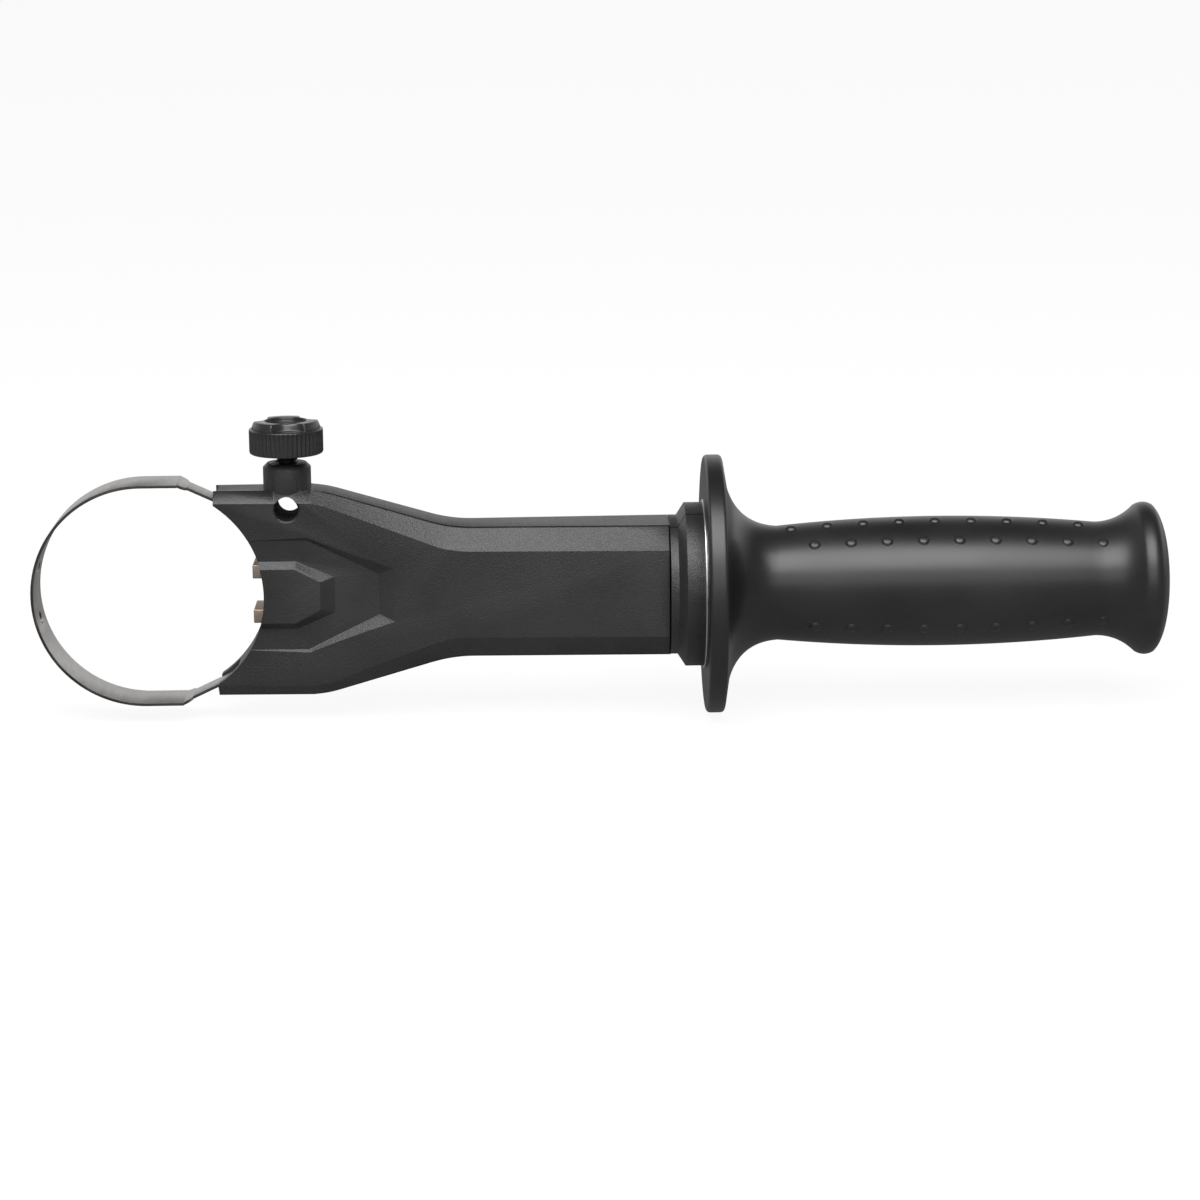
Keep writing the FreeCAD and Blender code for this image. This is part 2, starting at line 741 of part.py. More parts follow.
insert = new_body("lock_insert")
insert_sketch = new_sketch(insert, "lock_insert_profile", "XZ_Plane")
outline(insert_sketch, [
    (insert_back, -insert_half_height), (insert_back, insert_half_height),
    (insert_front, insert_half_height), (insert_front, tooth_height + tooth_half),
    (tooth_tip, tooth_height + tooth_half), (tooth_tip, tooth_height - tooth_half),
    (insert_front, tooth_height - tooth_half), (insert_front, tooth_half - tooth_height),
    (tooth_tip, tooth_half - tooth_height), (tooth_tip, -tooth_height - tooth_half),
    (insert_front, -tooth_height - tooth_half), (insert_front, -insert_half_height)])
pad(insert, "lock_insert_block", insert_sketch, 2 * insert_half_wide)

# Clamp band: one bent strip with a broad middle and narrow ends with eyes

band = new_body("clamp_band")
outer = ring_radius + band_thick
bend_shift = band_thick / 2 * tangent(strip_angle / 2)
band_sketch = new_sketch(band, "clamp_band_profile", "XZ_Plane")
strip_low_end = strip_height(eye_place) - strip_half
strip_high_end = strip_height(eye_place) + strip_half
outline(band_sketch, [
    (0.0, outer, -outer), (-outer, 0.0, -outer), (0.0, -outer),
    (neck_place + bend_shift, -outer), (eye_place, -strip_high_end),
    (eye_place, -strip_low_end), (neck_place - bend_shift, -ring_radius),
    (0.0, -ring_radius, ring_radius), (-ring_radius, 0.0, ring_radius), (0.0, ring_radius),
    (neck_place - bend_shift, ring_radius), (eye_place, strip_low_end),
    (eye_place, strip_high_end), (neck_place + bend_shift, outer)])
pad(band, "clamp_band_strip", band_sketch, band_wide)
narrow = new_sketch(band, "clamp_band_narrow", "XY_Plane")
near = strip_wide / 2
strip_right = eye_place + past
for sign in (1, -1):
    corners = [(neck_place, sign * band_wide), (neck_place, sign * (near + neck_fillet),
                                                sign * neck_fillet),
               (neck_place + neck_fillet, sign * near), (strip_right, sign * near),
               (strip_right, sign * band_wide)]
    outline(narrow, corners)
cut(band, "clamp_band_narrow_cut", narrow, far)
holes = new_sketch(band, "clamp_band_holes", "YZ_Plane")
hole_height = (ring_radius + band_thick / 2) * tangent(lock_hole_angle) * cosine(lock_hole_angle)
for sign in (1, -1):
    circle(holes, 0.0, sign * hole_height, lock_hole_radius)
cut_down(band, "clamp_band_hole_cut", holes, 2 * ring_radius)
for side, sign in (("upper", 1), ("lower", -1)):
    sketch = new_sketch(band, "clamp_band_" + side + "_eye", "XZ_Plane")
    circle(sketch, eye_place, sign * eye_height, eye_radius)
    pad(band, "clamp_band_" + side + "_eye_pad", sketch, strip_wide)
for side, sign in (("upper", 1), ("lower", -1)):
    sketch = new_sketch(band, "clamp_band_" + side + "_pin_hole", "XZ_Plane")
    circle(sketch, eye_place, sign * eye_height, pin_radius + pin_fit)
    cut(band, "clamp_band_" + side + "_pin_hole_cut", sketch, 2 * band_wide)
cut_box(band, "lug_gap", eye_place - eye_radius - inside, strip_right, 2 * eye_height,
        anchor_lug_half + running_gap / 2)

# Band anchor: lug for both pins and a broad block on the draw bolt

anchor = new_body("band_anchor")
lug = new_sketch(anchor, "anchor_lug", "XZ_Plane")
lug_half = eye_height + eye_radius
outline(lug, [(anchor_left, -lug_half), (anchor_step, -lug_half),
              (anchor_slope_end, -anchor_half_height), (anchor_slope_end, anchor_half_height),
              (anchor_step, lug_half), (anchor_left, lug_half)])
pad(anchor, "anchor_lug_pad", lug, 2 * anchor_lug_half)
block = new_sketch(anchor, "anchor_block", "XZ_Plane")
outline(block, [(anchor_step, -anchor_half_height), (anchor_right, -anchor_half_height),
                (anchor_right, anchor_half_height), (anchor_step, anchor_half_height)])
pad(anchor, "anchor_block_pad", block, 2 * anchor_half_wide)
pin_holes = new_sketch(anchor, "anchor_pin_holes", "XZ_Plane")
for sign in (1, -1):
    circle(pin_holes, eye_place, sign * eye_height, pin_radius + pin_fit)
cut(anchor, "anchor_pin_holes_cut", pin_holes, band_wide)
bolt_hole = new_sketch(anchor, "anchor_bolt_hole", "YZ_Plane", anchor_right)
circle(bolt_hole, 0.0, 0.0, bolt_radius)
cut_down(anchor, "anchor_bolt_hole_cut", bolt_hole, anchor_right - anchor_step)

# Turned parts

pins = []
for side, sign in (("upper", 1), ("lower", -1)):
    pin = rod("anchor_pin_" + side, pin_radius, strip_wide, eye_place, -strip_wide / 2,
              sign * eye_height, "y")
    pins.append(pin)

bolt = rod("draw_bolt", bolt_radius, bolt_end - anchor_step, anchor_step, along="x")

washer_disc = rod("washer_disc", washer_radius, washer_thick, collar_end, along="x")
washer_hole = rod("washer_hole", bolt_bore_radius, washer_thick, collar_end, along="x")
washer = subtract("collar_washer", washer_disc, washer_hole)

insert_solid = rod("insert_solid", insert_radius, insert_long, boss_place, 0.0,
                   boss_top - insert_long)
insert_hole = rod("insert_hole", stud_radius + thread_gap, insert_long, boss_place, 0.0,
                  boss_top - insert_long)
boss_insert = subtract("boss_insert", insert_solid, insert_hole)

thread = rod("stud_thread", stud_radius, stud_top - stud_bottom - stud_dog_long, boss_place, 0.0,
             stud_bottom + stud_dog_long)
dog = rod("stud_dog", stud_dog_radius, stud_dog_long, boss_place, 0.0, stud_bottom)
stud = fuse("thumb_stud", [thread, dog])

nut_solid = doc.addObject("Part::Prism", "nut_solid")
nut_solid.Polygon = 6
bind(nut_solid, {"Circumradius": nut_half_flats / cosine(as_size(30.0)), "Height": nut_tall})
lay_along_x(nut_solid)
place(nut_solid, flange_face + nut_depth, 0.0, 0.0)
nut_hole = rod("nut_hole", bolt_radius + thread_gap, nut_tall, flange_face + nut_depth,
               along="x")
grip_nut = subtract("grip_nut", nut_solid, nut_hole)

screws = []
for number, (across, up) in enumerate(screw_spots):
    name = "cover_screw_" + str(number + 1)
    tip = screw_tip(number)
    shank = rod(name + "_shank", screw_shank, screw_sink + tip, across, -tip, up, "y")
    head = rod(name + "_head", screw_head, screw_head_tall, across, screw_sink, up, "y")
    screws.append(fuse(name, [shank, head]))

# Grip: one turned moulding with hand guard, barrel and end rim, and its nubs

grip_body = new_body("grip_core")
grip_sketch = new_sketch(grip_body, "grip_profile", "XZ_Plane")
bore = bolt_radius + bolt_bore_gap
bore_end = bolt_end + clamp_draw + bolt_room
guard_back = flange_face + flange_thick
rim_foot = flange_radius - flange_round
foot_place = guard_back + flange_dish
belly_middle = (first_neck + second_neck) / 2
rim_right = rim_left + rim_wide
outline(grip_sketch,
        [(flange_face, bore)]
        + bend((flange_face, rim_foot), (flange_face, flange_radius),
               (flange_face + flange_round, flange_radius), 2)
        + bend((guard_back - flange_round, flange_radius), (guard_back, flange_radius),
               (guard_back, rim_foot), 2)
        + bend((foot_place, flange_foot), (foot_place + neck_lean, neck_floor),
               (first_neck, neck_radius), 5)[:-1]
        + bend((first_neck, neck_radius), (belly_middle, neck_radius + 2 * belly_rise),
               (second_neck, neck_radius), belly_steps)[:-1]
        + bend((second_neck, neck_radius), (second_neck + rim_lean, neck_radius),
               (rim_left, rim_radius), 4)[:-1]
        + bend((rim_left, rim_radius), (rim_left + rim_crest_place, rim_crest),
               (rim_right, end_radius), 4)[:-1]
        + bend((rim_right, end_radius), (grip_end, end_shoulder), (grip_end, 0.0), 5)[:-1]
        + [(grip_end, 0.0), (bore_end, 0.0), (bore_end, bore)])
revolve(grip_body, "Revolution", "grip_turned", grip_sketch, "X_Axis")
nut_seat = new_sketch(grip_body, "grip_nut_seat", "YZ_Plane", flange_face)
flat_half = nut_half_flats / cosine(as_size(30.0))
outline(nut_seat, [(nut_half_flats, -flat_half / 2), (nut_half_flats, flat_half / 2),
                   (0.0, flat_half), (-nut_half_flats, flat_half / 2),
                   (-nut_half_flats, -flat_half / 2), (0.0, -flat_half)])
seat_cut = feature(grip_body, "Pocket", "grip_nut_seat_cut", nut_seat)
seat_cut.Type = "Length"
seat_cut.Reversed = True
seat_cut.setExpression("Length", (nut_depth + nut_tall).text)


def grip_radius(across):
    """Radius of the barrel at a place along X."""
    share = (across - belly_middle.value) / (belly_long.value / 2)
    return neck_radius.value + belly_rise.value * (1 - share ** 2)


def nub(name, across, degrees):
    """One low stud on the barrel; the angle is counted from the front, upwards."""
    angle = math.radians(degrees)
    outward = V(0, -math.cos(angle), math.sin(angle))
    stud = doc.addObject("Part::Prism", name)
    stud.Polygon = nub_sides
    bind(stud, {"Circumradius": nub_radius, "Height": nub_root + nub_rise})
    turned = FreeCAD.Rotation(V(1, 0, 0), V(0, 0, 0), outward, "ZXY")
    lift = grip_radius(across) - nub_root.value
    stud.Placement = FreeCAD.Placement(V(across, 0, 0) + outward * lift, turned)
    return stud


nubs = []
for side in (1, -1):
    for row in range(rows_each_way):
        away = nub_clear.value + nub_step.value * row
        start = first_neck.value + nub_lead.value + nub_stagger.value * ((row + 1) % 2)
        for number in range(nubs_in_row):
            across = start + nub_pitch.value * number
            name = "_".join(("nub", "up" if side > 0 else "down", str(row + 1), str(number + 1)))
            nubs.append(nub(name, across, nub_turn.value + side * away))
grip = fuse("grip", [grip_body] + nubs)

# Thumb knob: ribbed side, lobed crown with a dish

knob = new_body("thumb_knob")
knob_side = knob_bottom + knob_tall
knob_top = knob_side + knob_crown
knob_right = boss_place + knob_radius
crown_right = knob_right - crown_inset
dish_right = boss_place + dish_radius
turned_upright(knob, "knob_turned", "Revolution", [
    (boss_place, knob_bottom), (knob_right - knob_edge, knob_bottom),
    (knob_right, knob_bottom + knob_edge), (knob_right, knob_side - knob_edge),
    (knob_right - knob_edge, knob_side), (crown_right, knob_side),
    (crown_right, knob_top - knob_edge), (crown_right - knob_edge, knob_top),
    (dish_right, knob_top), (dish_right - dish_deep, knob_top - dish_deep),
    (boss_place, knob_top - dish_deep)])
groove = new_sketch(knob, "knob_groove", "XY_Plane", knob_side)
rib_flare = rib_half * (rib_deep + inside) / rib_deep
outline(groove, [(knob_right - rib_deep, 0.0), (knob_right + inside, -rib_flare),
                 (knob_right + inside, rib_flare)])
groove_cut = cut_down(knob, "knob_groove_cut", groove, knob_tall)
turned_copies(knob, "knob_rib_grooves", groove_cut, knob_ribs)
scallop = new_sketch(knob, "knob_scallop", "XY_Plane", knob_top)
circle(scallop, boss_place, -scallop_reach - scallop_radius, scallop_radius)
scallop_cut = cut_down(knob, "knob_scallop_cut", scallop, knob_crown)
turned_copies(knob, "knob_scallops", scallop_cut, knob_lobes)
stud_hole = new_sketch(knob, "knob_stud_hole", "XY_Plane", stud_top)
circle(stud_hole, boss_place, 0.0, stud_radius + thread_gap)
cut_down(knob, "knob_stud_hole_cut", stud_hole, far)

# Check every object, then write each piece

pieces = [arm, cover, insert, band, anchor] + pins + [bolt, washer, boss_insert, stud, grip_nut]
pieces += screws + [grip, knob]
doc.recompute()
for item in doc.Objects:
    if "Invalid" in item.State or "Error" in item.State:
        raise RuntimeError(item.Label + " did not build: " + str(item.State))
os.makedirs("parts", exist_ok=True)
for piece in pieces:
    shape = piece.Shape
    if shape.isNull() or not shape.isValid():
        raise RuntimeError(piece.Label + " has no valid shape")
    print(piece.Label, len(shape.Solids), round(shape.Volume, 1))
for piece in pieces:
    piece.Shape.exportStep(os.path.join("parts", piece.Label + ".step"))
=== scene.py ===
import json
import math

import bmesh
import bpy
from mathutils import Matrix, Vector


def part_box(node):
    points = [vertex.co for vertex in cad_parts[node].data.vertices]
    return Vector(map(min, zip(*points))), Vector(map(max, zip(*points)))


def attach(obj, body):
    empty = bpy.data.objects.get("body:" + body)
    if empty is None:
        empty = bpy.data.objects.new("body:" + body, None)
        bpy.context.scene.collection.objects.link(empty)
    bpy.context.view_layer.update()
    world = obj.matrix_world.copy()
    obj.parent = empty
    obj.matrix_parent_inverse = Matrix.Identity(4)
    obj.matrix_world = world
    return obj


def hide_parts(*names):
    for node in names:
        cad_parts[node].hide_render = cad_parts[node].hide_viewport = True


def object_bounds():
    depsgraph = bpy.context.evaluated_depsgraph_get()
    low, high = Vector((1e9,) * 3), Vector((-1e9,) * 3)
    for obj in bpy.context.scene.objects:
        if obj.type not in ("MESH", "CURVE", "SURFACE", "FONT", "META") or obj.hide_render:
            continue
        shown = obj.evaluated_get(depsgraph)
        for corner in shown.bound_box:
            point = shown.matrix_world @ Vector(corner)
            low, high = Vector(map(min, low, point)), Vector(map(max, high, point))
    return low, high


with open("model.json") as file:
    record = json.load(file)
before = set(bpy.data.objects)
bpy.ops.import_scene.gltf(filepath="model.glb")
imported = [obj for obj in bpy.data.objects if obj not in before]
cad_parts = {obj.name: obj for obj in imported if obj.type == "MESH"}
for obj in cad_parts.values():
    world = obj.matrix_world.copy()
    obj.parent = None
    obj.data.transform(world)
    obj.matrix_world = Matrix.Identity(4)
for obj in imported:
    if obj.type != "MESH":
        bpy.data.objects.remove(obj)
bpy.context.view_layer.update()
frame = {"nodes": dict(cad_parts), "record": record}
nodes = frame["nodes"]
scene = bpy.context.scene
scene.view_settings.view_transform = "Standard"
MM = 0.001

# Camera: a long lens from the front, a little above and to the left

TARGET = Vector((126.7, 0.0, -4.3)) * MM
ELEVATION = math.radians(12.0)
YAW = math.radians(1.1)
ROLL = math.radians(0.54)
DISTANCE = 1.0
FOCAL_PIXELS = 3571.0
FRAME_PIXELS = 1200.0

camera_data = bpy.data.cameras.new("camera")
camera_data.sensor_fit = "HORIZONTAL"
camera_data.sensor_width = 36.0
camera_data.lens = 36.0 * FOCAL_PIXELS / FRAME_PIXELS
camera_data.clip_start = 0.05
camera_data.clip_end = 50.0
camera = bpy.data.objects.new("camera", camera_data)
scene.collection.objects.link(camera)
scene.camera = camera
away = Vector((-math.sin(YAW) * math.cos(ELEVATION), -math.cos(YAW) * math.cos(ELEVATION),
               math.sin(ELEVATION)))
turn = away.to_track_quat("Z", "Y").to_matrix().to_4x4()
camera.matrix_world = (Matrix.Translation(TARGET + away * DISTANCE) @ turn
                       @ Matrix.Rotation(-ROLL, 4, "Z"))


# Materials

class Look:
    """A node material under construction; an input is a value or another node's socket."""

    def __init__(self, name):
        self.material = bpy.data.materials.new(name)
        self.material.use_nodes = True
        self.tree = self.material.node_tree
        self.shader = self.tree.nodes["Principled BSDF"]
        self.output = self.tree.nodes["Material Output"]
        self.where = self.add("ShaderNodeTexCoord").outputs["Object"]

    def add(self, kind, **inputs):
        node = self.tree.nodes.new(kind)
        for key, value in inputs.items():
            self.set(node, key.replace("_", " "), value)
        return node

    def set(self, node, key, value):
        socket = node.inputs[key]
        if isinstance(value, bpy.types.NodeSocket):
            self.tree.links.new(value, socket)
        else:
            socket.default_value = value

    def surface(self, **inputs):
        for key, value in inputs.items():
            self.set(self.shader, key.replace("_", " "), value)

    def noise(self, scale, detail=2.0, rough=0.5, where=None):
        node = self.add("ShaderNodeTexNoise", Scale=scale, Detail=detail, Roughness=rough,
                        Vector=where or self.where)
        return node.outputs["Fac"]

    def spread(self, value, low, high, start=0.0, end=1.0):
        """A value between start and end, moved to between low and high."""
        node = self.add("ShaderNodeMapRange", Value=value, From_Min=start, From_Max=end,
                        To_Min=low, To_Max=high)
        return node.outputs["Result"]

    def tint(self, share, one, two):
        """A mix of two colours, each a triple or a socket."""
        node = self.add("ShaderNodeMix")
        node.data_type = "RGBA"
        self.set(node, "Factor", share)
        for place, colour in ((6, one), (7, two)):
            self.set(node, place, (*colour, 1.0) if isinstance(colour, tuple) else colour)
        return node.outputs[2]

    def bump(self, height, depth, strength):
        """A normal for relief of a depth in millimetres."""
        node = self.add("ShaderNodeBump", Strength=strength, Distance=depth * MM, Height=height)
        return node.outputs["Normal"]

    def math(self, kind, one, two=0.0):
        node = self.add("ShaderNodeMath")
        node.operation = kind
        self.set(node, 0, one)
        self.set(node, 1, two)
        return node.outputs["Value"]

    def sideways(self):
        """How far a face looks along Y, from 0 to 1, on the object's own axes."""
        normal = self.add("ShaderNodeTexCoord").outputs["Normal"]
        parts = self.add("ShaderNodeSeparateXYZ", Vector=normal)
        return self.math("ABSOLUTE", parts.outputs["Y"])


# Cross bore under the knob, and the seam between arm body and front cover, which gets deeper along
# X; the arm's material paints shade into both

BORE_X = 40.2
BORE_Z = 24.1
CROSS_BORE_R = 3.25
BORE_FADE = 0.1
SEAM_ENDS = (20.0, 146.1)
SEAM_DEPTHS = (4.8, 8.1)
SEAM_HALF = 0.14
SEAM_FADE = 0.2
SEAM_START = (47.0, 51.0)


def in_cross_bore(look, across, up):
    """1 on the wall of the cross bore and 0 outside it."""
    square_x = look.math("POWER", look.math("SUBTRACT", across, BORE_X * MM), 2.0)
    square_z = look.math("POWER", look.math("SUBTRACT", up, BORE_Z * MM), 2.0)
    away_by = look.math("SQRT", look.math("ADD", square_x, square_z))
    return look.spread(away_by, 1.0, 0.0, CROSS_BORE_R * MM, (CROSS_BORE_R + BORE_FADE) * MM)


def in_seam(look, across, deep):
    """1 along the seam and 0 away from it and left of its start."""
    slant = (SEAM_DEPTHS[1] - SEAM_DEPTHS[0]) / (SEAM_ENDS[1] - SEAM_ENDS[0])
    depth = look.math("ADD", look.math("MULTIPLY", across, slant),
                      (SEAM_DEPTHS[0] - slant * SEAM_ENDS[0]) * MM)
    away_by = look.math("ABSOLUTE", look.math("ADD", deep, depth))
    near = look.spread(away_by, 1.0, 0.0, SEAM_HALF * MM, (SEAM_HALF + SEAM_FADE) * MM)
    started = look.spread(across, 0.0, 1.0, SEAM_START[0] * MM, SEAM_START[1] * MM)
    return look.math("MULTIPLY", near, started)


def arm_plastic():
    """Glass-filled black plastic with a fine sand texture, and painted shade in the cross bore and
    the seam, where its shine is taken away.
    """
    look = Look("arm_plastic")
    grain = look.noise(2600.0, 2.0, 0.55)
    patch = look.noise(60.0, 3.0, 0.5)
    parts = look.add("ShaderNodeSeparateXYZ", Vector=look.where)
    across, deep, up = (parts.outputs[axis] for axis in "XYZ")
    # Painted shade: the cross bore's wall and the seam lose almost all shine and get rougher, so
    # they look dark
    painted_shade = look.math("MAXIMUM", in_cross_bore(look, across, up), in_seam(look, across, deep))
    look.surface(Base_Color=look.tint(look.spread(patch, 0.0, 1.0, 0.35, 0.65),
                                      (0.0085, 0.0080, 0.0078), (0.0125, 0.0118, 0.0115)),
                 Roughness=look.math("MAXIMUM", look.math("MULTIPLY", painted_shade, 0.8),
                                     look.spread(grain, 0.36, 0.48, 0.3, 0.7)),
                 Normal=look.bump(grain, 0.17, 0.7), IOR=1.5)
    look.set(look.shader, "Specular IOR Level", look.spread(painted_shade, 0.5, 0.02))
    return look.material


def grip_plastic():
    """Softer black plastic, a little smoother than the arm."""
    look = Look("grip_plastic")
    grain = look.noise(1700.0, 2.0, 0.5)
    patch = look.noise(45.0, 3.0, 0.5)
    look.surface(Base_Color=look.tint(look.spread(patch, 0.0, 1.0, 0.35, 0.65),
                                      (0.006, 0.006, 0.0062), (0.009, 0.009, 0.0092)),
                 Roughness=look.spread(patch, 0.34, 0.40, 0.3, 0.7),
                 Normal=look.bump(grain, 0.06, 0.25))
    return look.material


def knob_plastic():
    """Smooth satin black plastic."""
    look = Look("knob_plastic")
    patch = look.noise(150.0, 3.0, 0.5)
    grain = look.noise(2200.0, 2.0, 0.5)
    look.surface(Base_Color=look.tint(patch, (0.010, 0.010, 0.0105), (0.016, 0.016, 0.0165)),
                 Roughness=look.spread(patch, 0.24, 0.32, 0.3, 0.7),
                 Normal=look.bump(grain, 0.03, 0.2))
    return look.material


def metal(name, dark, light, low, high, scale=900.0, depth=0.03, stretch=(1, 1, 1),
          edge_shade_colour=None):
    """Bare or plated steel with a fine, slightly uneven finish, and maybe painted shade that darkens
    faces looking along Y, such as a band's edges.
    """
    look = Look(name)
    mapping = look.add("ShaderNodeMapping", Scale=stretch, Vector=look.where)
    grain = look.noise(scale, 3.0, 0.6, mapping.outputs["Vector"])
    patch = look.noise(90.0, 3.0, 0.5)
    colour = look.tint(patch, dark, light)
    rough = look.spread(grain, low, high, 0.3, 0.7)
    # Painted shade: faces that look along Y get a darker colour and more roughness
    if edge_shade_colour is not None:
        share = look.spread(look.sideways(), 0.0, 1.0, 0.6, 0.9)
        colour = look.tint(share, colour, edge_shade_colour)
        rough = look.math("ADD", rough, look.math("MULTIPLY", share, 0.15))
    look.surface(Base_Color=colour, Roughness=rough, Normal=look.bump(grain, depth, 0.4),
                 Metallic=1.0)
    return look.material


looks = {
    "arm_plastic": arm_plastic(),
    "grip_plastic": grip_plastic(),
    "knob_plastic": knob_plastic(),
    # The band's edges, which look along Y, get painted shade
    "band_steel": metal("band_steel", (0.40, 0.39, 0.38), (0.47, 0.46, 0.445), 0.40, 0.50,
                        stretch=(1.0, 0.15, 1.0), edge_shade_colour=(0.07, 0.068, 0.065)),
    "washer_steel": metal("washer_steel", (0.66, 0.66, 0.66), (0.74, 0.74, 0.74), 0.30, 0.38,
                          depth=0.005),
    "plated_steel": metal("plated_steel", (0.52, 0.52, 0.50), (0.62, 0.62, 0.60), 0.28, 0.40),
    "sintered_steel": metal("sintered_steel", (0.36, 0.29, 0.24), (0.46, 0.38, 0.325),
                            0.42, 0.60, scale=1800.0, depth=0.1),
    "black_steel": metal("black_steel", (0.035, 0.034, 0.033), (0.06, 0.058, 0.056), 0.38,
                         0.50),
    "insert_brass": metal("insert_brass", (0.58, 0.42, 0.19), (0.68, 0.50, 0.24), 0.25, 0.36),
}


# Pieces that keep their own shape and only get soft edges

WELD_GAP = 0.002
FLAT_ANGLE = math.radians(0.4)


def soften(piece, width, steps, angle):
    """A bevel modifier for the edges that are sharper than an angle in degrees."""
    bevel = piece.modifiers.new("bevel", "BEVEL")
    bevel.width = width * MM
    bevel.segments = steps
    bevel.limit_method = "ANGLE"
    bevel.angle_limit = math.radians(angle)
    bevel.harden_normals = True
    bevel.use_clamp_overlap = True
    bevel.miter_outer = "MITER_ARC"


def finish_solid(node, width, angle):
    """Joined flat faces and soft edges on a node, made by modifiers."""
    weld = node.modifiers.new("weld", "WELD")
    weld.merge_threshold = WELD_GAP * MM
    flat = node.modifiers.new("flat", "DECIMATE")
    flat.decimate_type = "DISSOLVE"
    flat.angle_limit = FLAT_ANGLE
    soften(node, width, 2, angle)


slots = {part["node"]: part["material_slot"] for part in frame["record"]["subparts"]}
for name, node in nodes.items():
    node.data.materials.clear()
    node.data.materials.append(looks[slots[name]])
    for face in node.data.polygons:
        face.use_smooth = True

for name in ("lock_insert", "band_anchor", "grip_nut"):
    finish_solid(nodes[name], 0.25, 25.0)
for name in ("clamp_band", "collar_washer"):
    finish_solid(nodes[name], 0.1, 35.0)
for name in ("draw_bolt", "anchor_pin_upper", "anchor_pin_lower"):
    finish_solid(nodes[name], 0.3, 35.0)


def new_piece(name, slot, mesh, body, *replaced):
    """A finished mesh that rides on a body and may stand for nodes."""
    piece = bpy.data.objects.new(name, mesh)
    scene.collection.objects.link(piece)
    mesh.materials.append(looks[slot])
    for face in mesh.polygons:
        face.use_smooth = True
    if replaced:
        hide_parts(*replaced)
    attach(piece, body)
    return piece


def skin(build, rows, closed_start=True, closed_end=True):
    """A skin over rings of points; a closed end gets one point in its middle."""
    rings = [[build.verts.new(Vector(point) * MM) for point in row] for row in rows]
    count = len(rings[0])
    for one, two in zip(rings, rings[1:]):
        for index in range(count):
            following = (index + 1) % count
            build.faces.new((one[index], one[following], two[following], two[index]))
    for ring, wanted in ((rings[0], closed_start), (rings[-1], closed_end)):
        if wanted:
            middle = build.verts.new(sum((v.co for v in ring), Vector()) / count)
            for index in range(count):
                build.faces.new((ring[index], middle, ring[(index + 1) % count]))


def finished_mesh(name, build):
    """A mesh from the faces built so far, all looking outwards."""
    mesh = bpy.data.meshes.new(name)
    bmesh.ops.recalc_face_normals(build, faces=build.faces)
    build.to_mesh(mesh)
    build.free()
    return mesh


def curve(start, corner, end, steps):
    """Points after the start of a smooth curve that leans towards the corner."""
    points = []
    for step in range(1, steps + 1):
        share = step / steps
        parts = ((1 - share) ** 2, 2 * share * (1 - share), share ** 2)
        points.append(tuple(sum(spot[axis] * part for spot, part in
                                zip((start, corner, end), parts)) for axis in (0, 1)))
    return points


# Arm body and front cover, with the soft bends of real mouldings

SLOPE = (46.9, 83.8)
SOFT_SLOPE = (49.4, 85.4)
SOFT_REACH = (4.5, 6.0)
SOFT_CUTS = 6
CUT_GAP = 0.0001
OUTER_MARGIN = 0.1
SOFT_END = 110.0
HALF_HEIGHTS = (28.95, 18.3)
BEVELS = (3.15, 6.15)


def share_of_slope(across, ends):
    """How far down the slope a place is, from 0 to 1."""
    return min(1.0, max(0.0, (across - ends[0]) / (ends[1] - ends[0])))


def soft_drop(across):
    """Share of the slope with both bends rounded off."""
    rate = 1.0 / (SOFT_SLOPE[1] - SOFT_SLOPE[0])
    value = share_of_slope(across, SOFT_SLOPE)
    for place, reach, sign in zip(SOFT_SLOPE, SOFT_REACH, (1.0, -1.0)):
        gone = across - place + reach
        if 0.0 < gone < 2 * reach:
            straight = rate * max(0.0, across - place)
            value += sign * (rate * gone ** 2 / (4 * reach) - straight)
    return value


def is_outer(vert):
    """True for a point of the outside edges and bevels above and below the front face."""
    share = share_of_slope(vert.co.x / MM, SLOPE)
    half = HALF_HEIGHTS[0] + (HALF_HEIGHTS[1] - HALF_HEIGHTS[0]) * share
    edge = half - BEVELS[0] - (BEVELS[1] - BEVELS[0]) * share
    return abs(vert.co.z) / MM > edge - OUTER_MARGIN


def soft_arm(name, body):
    """A copy of a moulding's node whose outer faces follow the rounded bends."""
    build = bmesh.new()
    build.from_mesh(nodes[name].data)
    bmesh.ops.remove_doubles(build, verts=build.verts, dist=WELD_GAP * MM)
    bmesh.ops.dissolve_limit(build, angle_limit=FLAT_ANGLE, verts=build.verts,
                             edges=build.edges)
    for place, reach in zip(SOFT_SLOPE, SOFT_REACH):
        for step in range(-SOFT_CUTS, SOFT_CUTS + 1):
            faces = [face for face in build.faces if all(is_outer(v) for v in face.verts)]
            edges = list(dict.fromkeys(edge for face in faces for edge in face.edges))
            verts = list(dict.fromkeys(vert for face in faces for vert in face.verts))
            bmesh.ops.bisect_plane(build, geom=verts + edges + faces, dist=CUT_GAP * MM,
                                   plane_co=((place + reach * step / SOFT_CUTS) * MM, 0.0, 0.0),
                                   plane_no=(1.0, 0.0, 0.0))
    for vert in build.verts:
        across = vert.co.x / MM
        share = share_of_slope(across, SLOPE)
        if SLOPE[0] + 0.5 < across < SOFT_END and is_outer(vert):
            change = (soft_drop(across) - share) * (HALF_HEIGHTS[1] - HALF_HEIGHTS[0])
            vert.co.z += math.copysign(change, vert.co.z) * MM
    piece = new_piece(name + "_moulded", "arm_plastic", finished_mesh(name + "_moulded", build),
                      body, name)
    soften(piece, 0.5, 3, 20.0)


soft_arm("arm_body", "arm")
soft_arm("front_cover", "arm")

# Thumb knob: ribbed side, crown with three lobes and a dish

